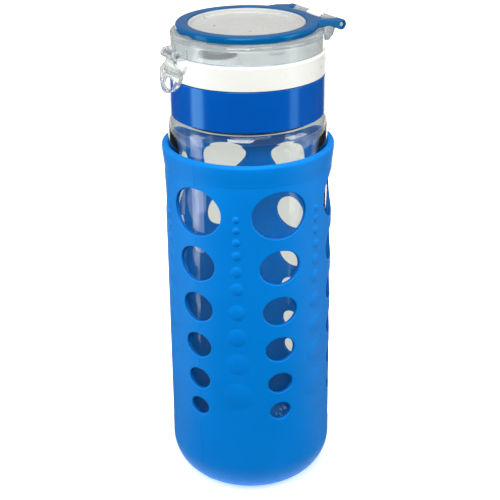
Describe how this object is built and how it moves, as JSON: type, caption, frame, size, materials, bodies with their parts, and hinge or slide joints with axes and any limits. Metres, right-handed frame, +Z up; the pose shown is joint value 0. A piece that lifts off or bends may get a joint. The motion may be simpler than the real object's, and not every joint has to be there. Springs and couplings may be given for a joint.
{
  "type": "glass water bottle",
  "caption": "Straight glass bottle in a windowed silicone sleeve, with a screw collar, a white spout cap, a clear latched flip cover and a swing-up carry ring.",
  "frame": {"origin": "centre of the sleeve's flat base, on the bottle's axis, on the surface it stands on", "axes": "+Z up along the bottle's axis; the latch faces -Y and the cover's hinge is at +Y"},
  "size_m": [0.0786, 0.0821, 0.2252],
  "materials": {
    "glass": "clear polished soda-lime glass",
    "sleeve_silicone": "satin moulded silicone, bright blue",
    "seal_silicone": "translucent white silicone",
    "dark_silicone": "charcoal moulded silicone",
    "collar_plastic": "glossy deep blue polypropylene",
    "ring_plastic": "semi-gloss blue polypropylene",
    "white_plastic": "semi-gloss white polypropylene",
    "clear_plastic": "clear glossy copolyester",
    "steel": "turned stainless steel"
  },
  "bodies": {
    "bottle": {"glass_bottle": "glass", "silicone_sleeve": "sleeve_silicone"},
    "gasket": {"neck_gasket": "seal_silicone"},
    "lid": {"screw_collar": "collar_plastic", "spout_cap": "white_plastic", "vent_valve": "seal_silicone", "hinge_pin": "steel"},
    "cover": {"flip_cover": "clear_plastic", "spout_seal": "dark_silicone", "latch_pin": "steel"},
    "ring": {"carry_ring": "ring_plastic"},
    "latch": {"latch": "clear_plastic"}
  },
  "joints": [
    {"name": "lid_lift", "type": "slide", "parent": "bottle", "child": "gasket", "axis": [0, 0, 1], "range_m": [0, 0.015]},
    {"name": "lid_unscrew", "type": "hinge", "parent": "gasket", "child": "lid", "pos_m": [0, 0, 0.1935], "axis": [0, 0, 1], "range_deg": [0, 1080]},
    {"name": "cover_flip", "type": "hinge", "parent": "lid", "child": "cover", "pos_m": [0, 0.0375, 0.222], "axis": [-1, 0, 0], "range_deg": [0, 110]},
    {"name": "ring_swing", "type": "hinge", "parent": "cover", "child": "ring", "pos_m": [0, 0.0375, 0.222], "axis": [-1, 0, 0], "range_deg": [0, 115]},
    {"name": "latch_flip", "type": "hinge", "parent": "cover", "child": "latch", "pos_m": [0, -0.0387, 0.216], "axis": [-1, 0, 0], "range_deg": [0, 120]}
  ],
  "couplings": [
    {"joint": "lid_lift", "follows": "lid_unscrew", "m_per_rad": 0.00079577}
  ]
}
